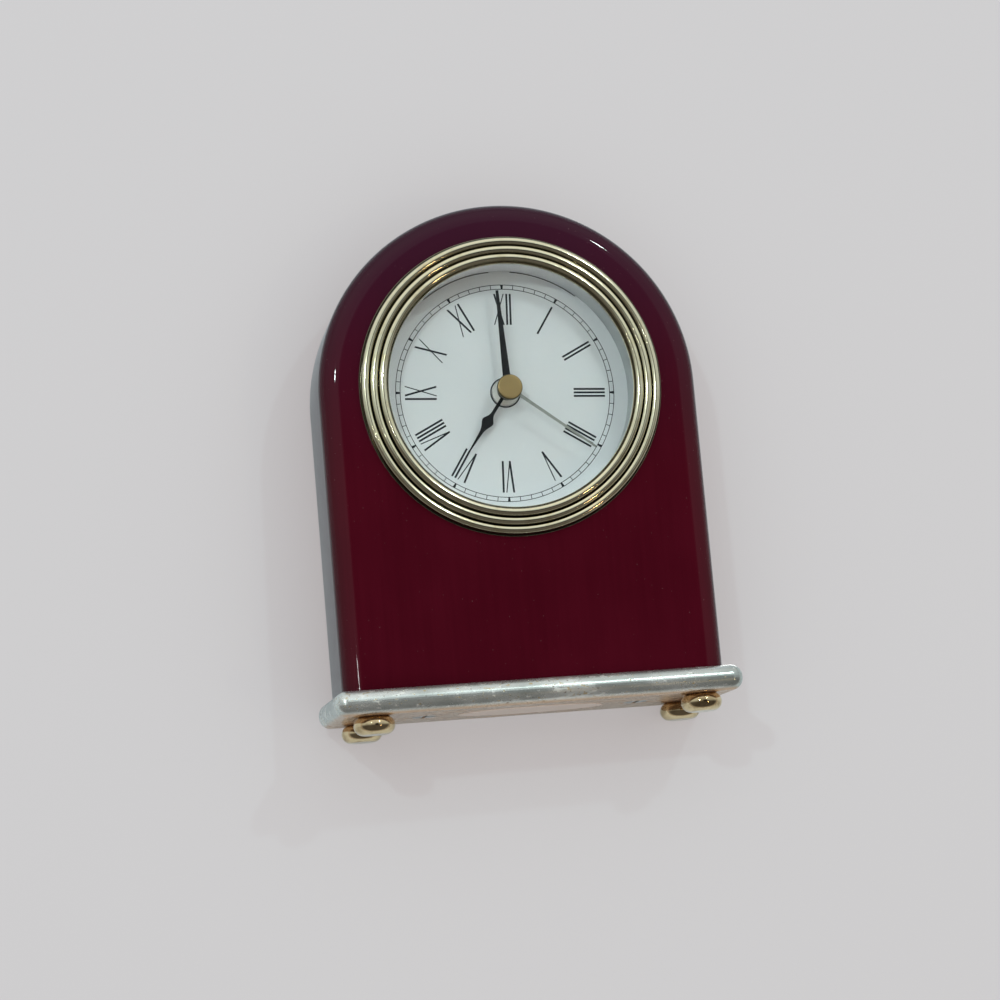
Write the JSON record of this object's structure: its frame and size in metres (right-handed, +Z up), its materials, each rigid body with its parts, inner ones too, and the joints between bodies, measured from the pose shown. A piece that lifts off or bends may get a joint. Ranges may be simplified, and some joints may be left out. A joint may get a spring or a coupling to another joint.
{
  "type": "desk clock",
  "caption": "Arch-topped desk clock in glossy burgundy lacquered wood, with a ribbed gold bezel, white Roman dial and quartz insert, on a metal base with bun feet.",
  "frame": {"origin": "on the table, under the middle of the base plate", "axes": "+X to the right of the dial, +Y from the dial to the back, +Z up"},
  "size_m": [0.1068, 0.0404, 0.1368],
  "materials": {
    "lacquered_wood": "burgundy high-gloss lacquer",
    "base_metal": "worn silver plating with gold flecks",
    "polished_brass": "polished",
    "bezel_gold": "polished champagne gold",
    "clear_glass": "polished clear",
    "pale_ring": "satin pale grey",
    "white_dial": "white enamel with black print",
    "black_hand": "satin black",
    "pale_hand": "pale gilt",
    "black_plastic": "fine grain",
    "white_plastic": "moulded",
    "gear_plastic": "moulded",
    "black_rubber": "matte",
    "steel": "zinc plated",
    "magnet": "sintered",
    "copper_wire": "enamelled wire",
    "green_board": "solder mask",
    "cell_wrap": "plain printed wrap",
    "label_paper": "blank label"
  },
  "bodies": {
    "case": {"case_block": "lacquered_wood", "base_plate": "base_metal", "foot_front_left": "polished_brass", "foot_front_right": "polished_brass", "foot_rear_left": "polished_brass", "foot_rear_right": "polished_brass", "foot_studs": "steel", "base_screws": "steel", "underside_label": "label_paper"},
    "insert": {"bezel": "bezel_gold", "lens": "clear_glass", "reflector_ring": "pale_ring", "dial": "white_dial", "insert_housing": "black_plastic", "grip_ring": "black_rubber", "front_plate": "white_plastic", "rear_plate": "white_plastic", "plate_screws": "steel", "stator": "steel", "coil_core": "steel", "coil_bobbin": "white_plastic", "coil_winding": "copper_wire", "circuit_board": "green_board", "quartz_crystal": "steel", "chip": "black_plastic", "battery_cradle": "white_plastic", "battery": "cell_wrap", "positive_contact": "steel", "negative_contact": "steel"},
    "seconds": {"seconds_wheel": "gear_plastic", "second_hand": "pale_hand", "second_hand_cap": "polished_brass"},
    "third": {"third_wheel": "gear_plastic"},
    "centre": {"centre_wheel": "gear_plastic"},
    "intermediate": {"intermediate_wheel": "gear_plastic"},
    "rotor": {"rotor_pinion": "gear_plastic", "rotor_magnet": "magnet"},
    "minutes": {"cannon_pinion": "gear_plastic", "clutch_spring": "steel", "minute_hand": "black_hand"},
    "hours": {"hour_wheel": "gear_plastic", "hour_hand": "black_hand"},
    "reverser": {"reverser_wheel": "gear_plastic"},
    "setting": {"setting_arbor": "white_plastic", "setting_knob": "black_plastic"},
    "door": {"battery_door": "black_plastic"}
  },
  "joints": [
    {"name": "insert_pull", "type": "slide", "parent": "case", "child": "insert", "axis": [0, -1, 0], "range_m": [0, 0.03]},
    {"name": "door_lift", "type": "slide", "parent": "insert", "child": "door", "axis": [0, 1, 0], "range_m": [0, 0.015]},
    {"name": "seconds_turn", "type": "hinge", "parent": "insert", "child": "seconds", "pos_m": [0, -0.00255, 0.0875], "axis": [0, 1, 0], "continuous": true},
    {"name": "third_turn", "type": "hinge", "parent": "insert", "child": "third", "pos_m": [-0.00755, -0.00255, 0.0924], "axis": [0, 1, 0], "continuous": true},
    {"name": "centre_turn", "type": "hinge", "parent": "insert", "child": "centre", "pos_m": [0, -0.00255, 0.0875], "axis": [0, 1, 0], "continuous": true},
    {"name": "intermediate_turn", "type": "hinge", "parent": "insert", "child": "intermediate", "pos_m": [0.00627, -0.00255, 0.09423], "axis": [0, 1, 0], "continuous": true},
    {"name": "rotor_turn", "type": "hinge", "parent": "insert", "child": "rotor", "pos_m": [0.01297, -0.00255, 0.09627], "axis": [0, 1, 0], "continuous": true},
    {"name": "minutes_turn", "type": "hinge", "parent": "insert", "child": "minutes", "pos_m": [0, -0.00255, 0.0875], "axis": [0, 1, 0], "continuous": true},
    {"name": "hours_turn", "type": "hinge", "parent": "insert", "child": "hours", "pos_m": [0, -0.00255, 0.0875], "axis": [0, 1, 0], "continuous": true},
    {"name": "reverser_turn", "type": "hinge", "parent": "insert", "child": "reverser", "pos_m": [-0.00669, -0.00255, 0.08545], "axis": [0, 1, 0], "continuous": true},
    {"name": "setting_turn", "type": "hinge", "parent": "insert", "child": "setting", "pos_m": [-0.01339, -0.00255, 0.08341], "axis": [0, 1, 0], "continuous": true}
  ],
  "couplings": [
    {"joint": "third_turn", "follows": "seconds_turn", "ratio": -0.13333},
    {"joint": "centre_turn", "follows": "seconds_turn", "ratio": 0.016667},
    {"joint": "intermediate_turn", "follows": "seconds_turn", "ratio": -5},
    {"joint": "rotor_turn", "follows": "seconds_turn", "ratio": 30},
    {"joint": "hours_turn", "follows": "minutes_turn", "ratio": 0.083333},
    {"joint": "reverser_turn", "follows": "minutes_turn", "ratio": -0.33333},
    {"joint": "setting_turn", "follows": "minutes_turn", "ratio": 1}
  ]
}
